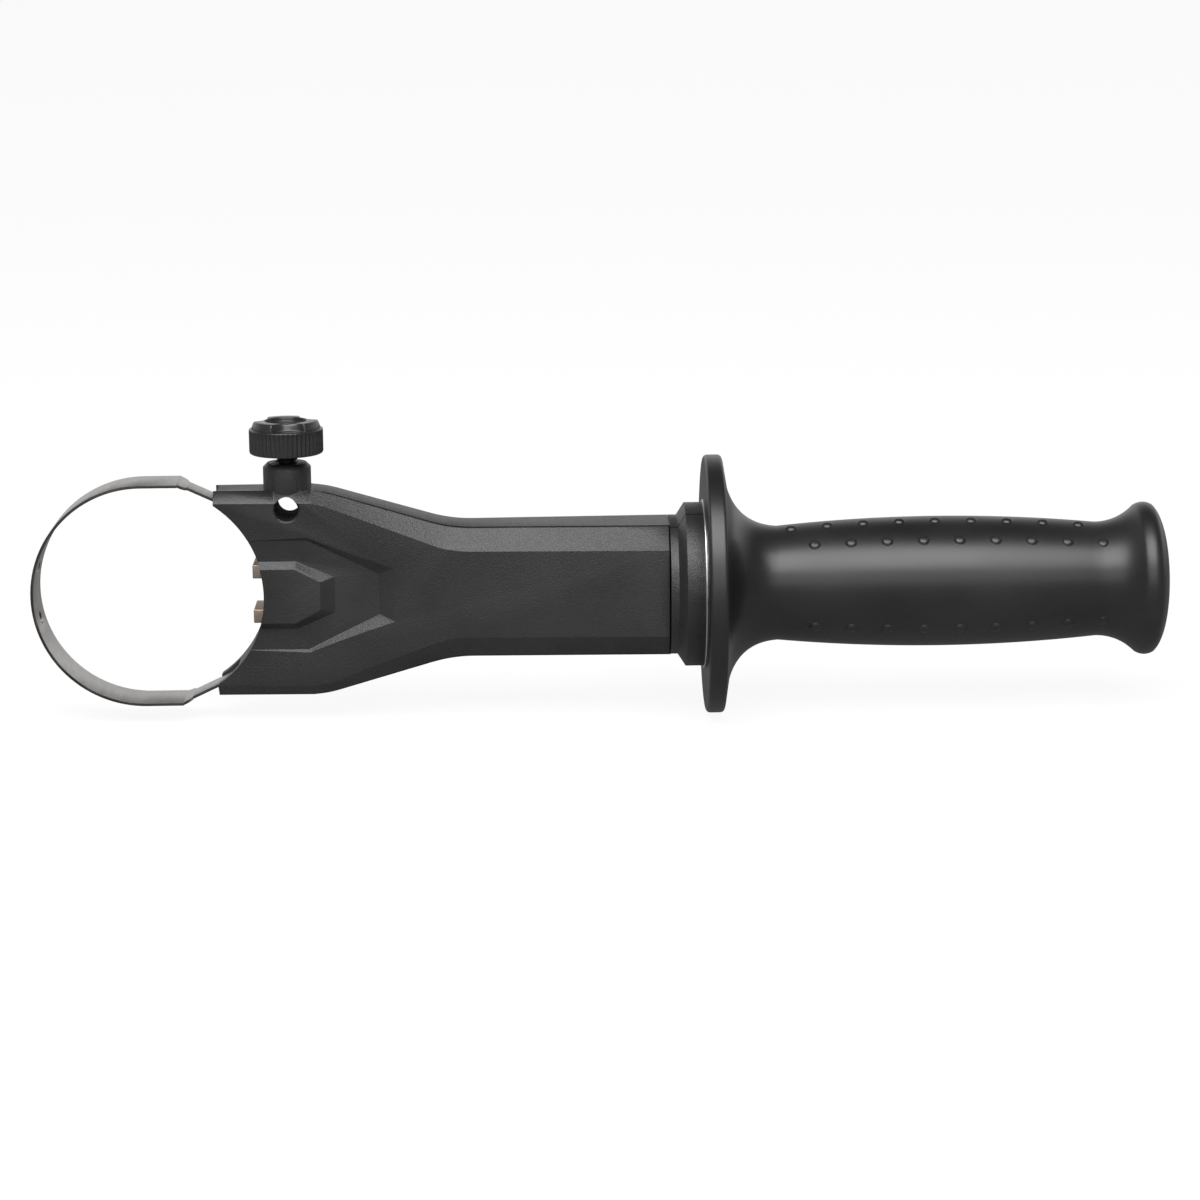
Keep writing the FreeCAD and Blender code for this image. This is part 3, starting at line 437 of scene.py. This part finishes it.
KNOB_X = BORE_X
KNOB_LOW = 38.5
KNOB_SIDE = 7.1
KNOB_CROWN = 2.1
KNOB_R = 10.25
KNOB_EDGE = KNOB_R - 0.75
KNOB_RIBS = 48
RIB_POINTS = 8
RIB_DEEP = 0.4
LOBE_TURN = 120.0
CROWN_R = 9.5
SCALLOP_R = 7.0
SCALLOP_REACH = 6.5
SCALLOP_TURN = 8.0
DISH_R = 5.7
DISH_DEEP = 1.3


def about_knob(radius, turn, height):
    """A point about the knob's axis; the turn is in degrees."""
    angle = math.radians(turn)
    return (KNOB_X + radius * math.cos(angle), radius * math.sin(angle), height)


def turns(count):
    """Even places round a ring, in degrees."""
    return [360.0 * index / count for index in range(count)]


def crown_radius(angle):
    """Outside of the crown at an angle: three round lobes with hollows between them."""
    from_hollow = angle - 270.0 - SCALLOP_TURN
    away_by = (from_hollow + LOBE_TURN / 2) % LOBE_TURN - LOBE_TURN / 2
    centre = SCALLOP_REACH + SCALLOP_R
    side = centre * math.sin(math.radians(away_by))
    hollow = CROWN_R + 3.0
    if abs(side) < SCALLOP_R:
        hollow = centre * math.cos(math.radians(away_by)) - math.sqrt(SCALLOP_R ** 2 - side ** 2)
    sharp = 4.0
    return -math.log(math.exp(-sharp * CROWN_R) + math.exp(-sharp * hollow)) / sharp


def knob_mesh():
    """Rings of the knob, from the underside to the middle of the dish."""
    angles = turns(KNOB_RIBS * RIB_POINTS)
    count = len(angles)
    top = KNOB_SIDE + KNOB_CROWN
    side = [(3.2, 0.3), (6.5, 0.3), (6.9, 0.0), (8.9, 0.0)]
    ribbed = [(-0.5, 0.1, 0.1), (-0.12, 0.35, 0.5), (0.0, 0.75, 1.0), (0.0, 2.5, 1.0),
              (0.0, 4.5, 1.0), (0.0, KNOB_SIDE - 0.6, 1.0), (0.0, KNOB_SIDE - 0.42, 0.0),
              (-0.1, KNOB_SIDE - 0.2, 0.0), (-0.35, KNOB_SIDE - 0.05, 0.0)]
    rows = [[(radius, height)] * count for radius, height in side]
    for inset, height, share in ribbed:
        row = []
        for index in range(count):
            wave = abs(math.sin(math.pi * index / RIB_POINTS))
            row.append((KNOB_R + inset - share * RIB_DEEP * (1.0 - wave ** 1.5), height))
        rows.append(row)
    crown = [crown_radius(angle) for angle in angles]
    rows.append([(KNOB_EDGE, KNOB_SIDE)] * count)
    for share, height in ((0.45, 0.0), (0.12, 0.02), (0.03, 0.12), (0.0, 0.3)):
        rows.append([(edge + (KNOB_EDGE - edge) * share, KNOB_SIDE + height)
                     for edge in crown])
    inner = DISH_R + 0.25
    for inset, fall in ((0.3, 0.9), (0.5, 0.42), (0.65, 0.18), (0.85, 0.05)):
        rows.append([(edge - inset, top - fall) for edge in crown])
    for share in (0.7, 0.35, 0.0):
        rows.append([(inner + 0.1 + (edge - 1.1 - inner) * share, top) for edge in crown])
    for radius, height in ((inner - 0.1, top - 0.06), (inner - 0.22, top - 0.2),
                           (inner - 0.28, top - 0.5), (inner - 0.3, top - 1.0),
                           (inner - 0.42, top - DISH_DEEP + 0.08),
                           (inner - 0.7, top - DISH_DEEP), (3.0, top - DISH_DEEP)):
        rows.append([(radius, height)] * count)
    build = bmesh.new()
    skin(build, [[about_knob(radius, angle, KNOB_LOW + height)
                  for (radius, height), angle in zip(row, angles)] for row in rows])
    return finished_mesh("knob_shell", build)


new_piece("knob_shell", "knob_plastic", knob_mesh(), "thumb_knob", "thumb_knob")

# Thumb stud with its thread

STUD_R = 3.0
STUD_LOW = 29.6
STUD_TOP = 44.6
THREAD_PITCH = 1.0
THREAD_DEEP = 0.55
THREAD_START = 1.8
THREAD_STEPS = 8


def stud_mesh():
    """Rings of the stud with a thread that winds up it."""
    angles = turns(48)
    rows = []
    for radius, height in ((1.5, 0.0), (1.9, 0.4), (1.9, 1.6), (2.2, 1.7)):
        rows.append([about_knob(radius, angle, STUD_LOW + height) for angle in angles])
    steps = int((STUD_TOP - STUD_LOW - THREAD_START) * THREAD_STEPS / THREAD_PITCH)
    for step in range(steps + 1):
        height = STUD_LOW + THREAD_START + step * THREAD_PITCH / THREAD_STEPS
        row = []
        for angle in angles:
            phase = (height / THREAD_PITCH - angle / 360.0) % 1.0
            crest = min(1.0, abs(phase - 0.5) * 2.4)
            radius = STUD_R - THREAD_DEEP * (1.0 - crest)
            row.append(about_knob(radius, angle, height))
        rows.append(row)
    build = bmesh.new()
    skin(build, rows)
    return finished_mesh("stud_thread", build)


new_piece("stud_thread", "black_steel", stud_mesh(), "thumb_stud", "thumb_stud")


def turned_ring(name, corners):
    """A ring about the knob's axis, from a closed outline of radius and height."""
    rows = [[about_knob(radius, angle, height) for angle in turns(64)]
            for radius, height in corners + corners[:1]]
    build = bmesh.new()
    skin(build, rows, closed_start=False, closed_end=False)
    bmesh.ops.remove_doubles(build, verts=build.verts, dist=WELD_GAP * MM)
    return finished_mesh(name, build)


# Threaded sleeve in the boss, below the plastic lip round the stud

BOSS_TOP = 36.0
LIP_LOW = 35.1
SLEEVE_LOW = 30.6
SLEEVE_R = 4.6
SLEEVE_BORE_R = 3.05
SLEEVE_EDGE = 0.2
lip = [(3.15, LIP_LOW), (3.15, BOSS_TOP - 0.45), (3.25, BOSS_TOP - 0.2), (3.55, BOSS_TOP),
       (4.75, BOSS_TOP + 0.01), (4.75, LIP_LOW)]
sleeve = [(SLEEVE_BORE_R, SLEEVE_LOW), (SLEEVE_BORE_R, LIP_LOW - SLEEVE_EDGE),
          (SLEEVE_BORE_R + SLEEVE_EDGE, LIP_LOW), (SLEEVE_R - SLEEVE_EDGE, LIP_LOW),
          (SLEEVE_R, LIP_LOW - SLEEVE_EDGE), (SLEEVE_R, SLEEVE_LOW + SLEEVE_EDGE),
          (SLEEVE_R - SLEEVE_EDGE, SLEEVE_LOW)]
new_piece("boss_lip", "arm_plastic", turned_ring("boss_lip", lip), "arm")
new_piece("boss_sleeve", "insert_brass", turned_ring("boss_sleeve", sleeve), "arm",
          "boss_insert")

# Cover screws, seen from behind in their holes

SCREW_SHANK = 1.5
SCREW_HEAD = 2.7
SCREW_SEAT = 5.0
SCREW_TALL = 2.0
SCREW_KEY = 1.25


def screw_mesh(name, across, up, tip):
    """Rings of a pan head screw with a six-sided key hole."""
    angles = turns(48)
    top = SCREW_SEAT + SCREW_TALL
    round_rows = [(0.6, tip), (SCREW_SHANK, tip + 0.6), (SCREW_SHANK, SCREW_SEAT),
                  (SCREW_HEAD - 0.15, SCREW_SEAT), (SCREW_HEAD, SCREW_SEAT + 0.15),
                  (SCREW_HEAD, top - 0.7), (SCREW_HEAD - 0.12, top - 0.35),
                  (SCREW_HEAD - 0.45, top - 0.1), (SCREW_HEAD - 0.8, top)]
    rows = [[(radius, deep)] * len(angles) for radius, deep in round_rows]
    for extra, deep in ((0.15, top), (0.0, top - 0.12), (0.0, top - 1.2)):
        rows.append([(SCREW_KEY / math.cos(math.radians(angle % 60.0 - 30.0)) + extra, deep)
                     for angle in angles])
    build = bmesh.new()
    skin(build, [[(across + radius * math.cos(math.radians(angle)), deep,
                   up + radius * math.sin(math.radians(angle)))
                  for (radius, deep), angle in zip(row, angles)] for row in rows])
    return finished_mesh(name, build)


for number in range(1, 5):
    node_name = "cover_screw_" + str(number)
    low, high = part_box(node_name)
    middle = (Vector(low) + Vector(high)) / 2 / MM
    mesh = screw_mesh("screw_" + str(number), middle.x, middle.z, low[1] / MM)
    new_piece("screw_" + str(number), "black_steel", mesh, "arm", node_name)

# Grip: hand guard, barrel with nubs, and end rim

FACE = 155.9
GUARD_R = 36.1
GUARD_THICK = 5.1
GUARD_ROUND = 1.3
BACK = FACE + GUARD_THICK
NECK_R = 15.95
FIRST_NECK = FACE + 20.4
BELLY_LONG = 89.1
BELLY_RISE = 2.2
SECOND_NECK = FIRST_NECK + BELLY_LONG
RIM = SECOND_NECK + 11.3
GRIP_END = 285.25
BORE_R = 4.3
BORE_END = 209.9
FLARE = (1.2, 27.6)
RIM_R = 20.7
RIM_WIDE = 4.5
BARREL_STEPS = 30
AROUND = 192


def barrel_radius(across):
    """Radius of the barrel at a place along X."""
    share = (across - (FIRST_NECK + SECOND_NECK) / 2) / (BELLY_LONG / 2)
    return NECK_R + BELLY_RISE * (1 - share ** 2)


def grip_profile():
    """Outline of the grip from its bore, round the guard and barrel, to its end."""
    foot = GUARD_R - GUARD_ROUND
    points = [(BORE_END, 1.0), (BORE_END, BORE_R), (FACE + 0.3, BORE_R), (FACE, BORE_R + 0.3),
              (FACE, 23.0), (FACE, foot - 1.0), (FACE, foot)]
    points += curve((FACE, foot), (FACE, GUARD_R), (FACE + GUARD_ROUND, GUARD_R), 6)
    points += [(BACK - GUARD_ROUND, GUARD_R)]
    points += curve((BACK - GUARD_ROUND, GUARD_R), (BACK, GUARD_R), (BACK, foot), 6)
    flare = (BACK + FLARE[0], FLARE[1])
    points += [(BACK + 0.1, foot - 0.5), flare]
    points += curve(flare, (BACK + 4.2, 16.6), (FIRST_NECK, NECK_R), 28)
    for step in range(1, BARREL_STEPS + 1):
        across = FIRST_NECK + BELLY_LONG * step / BARREL_STEPS
        points.append((across, barrel_radius(across)))
    rim_end = (RIM + RIM_WIDE, RIM_R + 0.1)
    points += curve((SECOND_NECK, NECK_R), (SECOND_NECK + 6.5, NECK_R), (RIM, RIM_R), 16)
    points += curve((RIM, RIM_R), (RIM + 2.35, RIM_R + 1.3), rim_end, 10)
    points += curve(rim_end, (GRIP_END, 17.0), (GRIP_END, 0.6), 16)
    return points


NUB_DOME = ((1.85, -0.25), (1.72, 0.0), (1.52, 0.14), (1.36, 0.32), (1.15, 0.46), (0.8, 0.56),
            (0.4, 0.6))


def nub(build, across, angle):
    """One low rounded nub; the angle is counted from the front, upwards."""
    outward = Vector((0.0, -math.cos(angle), math.sin(angle)))
    around = Vector((0.0, math.sin(angle), math.cos(angle)))
    rows = []
    for radius, height in NUB_DOME:
        row = []
        for place in turns(20):
            along = radius * math.cos(math.radians(place))
            beside = radius * math.sin(math.radians(place))
            raised = barrel_radius(across) + height - beside ** 2 / 2 / NECK_R
            row.append(Vector((across + along, 0.0, 0.0)) + around * beside + outward * raised)
        rows.append(row)
    skin(build, rows, closed_start=False)


NUBS_A_ROW = 9
NUB_LEAD = 3.8
NUB_PITCH = 10.0
NUB_STAGGER = 6.0
NUB_TURN = 7.0
NUB_CLEAR = 43.0
NUB_STEP = 30.0
NUB_ROWS = ((1, 0), (1, 1), (1, 3), (-1, 0), (-1, 2), (-1, 3))


def grip_mesh():
    """The turned grip with its rows of nubs."""
    build = bmesh.new()
    skin(build, [[(across, radius * math.cos(math.radians(angle)),
                   radius * math.sin(math.radians(angle))) for angle in turns(AROUND)]
                 for across, radius in grip_profile()])
    for side, row in NUB_ROWS:
        angle = math.radians(NUB_TURN + side * (NUB_CLEAR + NUB_STEP * row))
        start = FIRST_NECK + NUB_LEAD + NUB_STAGGER * ((row + 1) % 2)
        for number in range(NUBS_A_ROW):
            nub(build, start + NUB_PITCH * number, angle)
    return finished_mesh("grip_skin", build)


new_piece("grip_skin", "grip_plastic", grip_mesh(), "grip", "grip")


# Floor, world and lamps

FLOOR_HALF = 6.0
FLOOR_GAP = 0.2
FLOOR_GLOW = 0.92


def floor_material():
    """White, and seen as even light by the camera and dimly in reflections."""
    look = Look("floor")
    look.surface(Base_Color=(0.88, 0.88, 0.88, 1.0), Roughness=0.9)
    path = look.add("ShaderNodeLightPath")
    shine = look.spread(path.outputs["Is Glossy Ray"], 1.0, 0.2)
    glow = look.add("ShaderNodeEmission", Color=(1.0, 1.0, 1.0, 1.0), Strength=shine)
    seen = look.math("MAXIMUM", path.outputs["Is Camera Ray"], path.outputs["Is Glossy Ray"])
    blend = look.add("ShaderNodeMixShader")
    for place, socket in enumerate((look.math("MULTIPLY", seen, FLOOR_GLOW),
                                    look.shader.outputs[0], glow.outputs[0])):
        look.set(blend, place, socket)
    look.set(look.output, "Surface", blend.outputs[0])
    return look.material


floor_mesh = bpy.data.meshes.new("floor")
corners = [(FLOOR_HALF * x, FLOOR_HALF * y, 0.0) for x, y in ((-1, -1), (1, -1), (1, 1), (-1, 1))]
floor_mesh.from_pydata(corners, [], [(0, 1, 2, 3)])
floor = bpy.data.objects.new("floor", floor_mesh)
floor.location.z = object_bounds()[0].z - FLOOR_GAP * MM
scene.collection.objects.link(floor)
floor_mesh.materials.append(floor_material())

world = bpy.data.worlds.new("studio")
scene.world = world
world.use_nodes = True
tree = world.node_tree
tree.nodes.clear()
background = tree.nodes.new("ShaderNodeBackground")
output = tree.nodes.new("ShaderNodeOutputWorld")
path = tree.nodes.new("ShaderNodeLightPath")
direction = tree.nodes.new("ShaderNodeSeparateXYZ")
tree.links.new(tree.nodes.new("ShaderNodeTexCoord").outputs["Generated"],
               direction.inputs["Vector"])


def fade(value, start, end, low, high):
    """A smooth change of a value between two ends."""
    node = tree.nodes.new("ShaderNodeMapRange")
    node.interpolation_type = "SMOOTHSTEP"
    for key, number in (("From Min", start), ("From Max", end), ("To Min", low),
                        ("To Max", high)):
        socket = node.inputs[key]
        if isinstance(number, bpy.types.NodeSocket):
            tree.links.new(number, socket)
        else:
            socket.default_value = number
    tree.links.new(value, node.inputs["Value"])
    return node.outputs["Result"]


def product(one, two):
    """Two sockets multiplied."""
    node = tree.nodes.new("ShaderNodeMath")
    node.operation = "MULTIPLY"
    tree.links.new(one, node.inputs[0])
    tree.links.new(two, node.inputs[1])
    return node.outputs["Value"]


# Reflections: a white wall behind, a dim room in front and a dark ceiling

reflected = product(fade(direction.outputs["Y"], -0.2, 0.6, 0.2, 0.95),
                    fade(direction.outputs["Z"], 0.25, 0.75, 1.0, 0.08))
unseen = fade(path.outputs["Is Glossy Ray"], 0.0, 1.0, 0.4, reflected)
strength = fade(path.outputs["Is Camera Ray"], 0.0, 1.0, unseen, 1.02)
background.inputs["Color"].default_value = (1.0, 1.0, 1.0, 1.0)
tree.links.new(strength, background.inputs["Strength"])
tree.links.new(background.outputs[0], output.inputs["Surface"])


def softbox(name, where, wide, tall, watts):
    """A rectangular lamp that looks at the middle of the handle."""
    data = bpy.data.lights.new(name, "AREA")
    data.shape = "RECTANGLE"
    data.size = wide
    data.size_y = tall
    data.energy = watts
    lamp = bpy.data.objects.new(name, data)
    scene.collection.objects.link(lamp)
    lamp.location = where
    lamp.rotation_euler = (Vector(where) - TARGET).to_track_quat("Z", "Y").to_euler()


softbox("key", (0.0, -0.95, 1.4), 2.0, 1.3, 56.0)
softbox("low_fill", (0.0, -1.7, 0.5), 2.2, 0.5, 7.0)

bpy.context.view_layer.update()
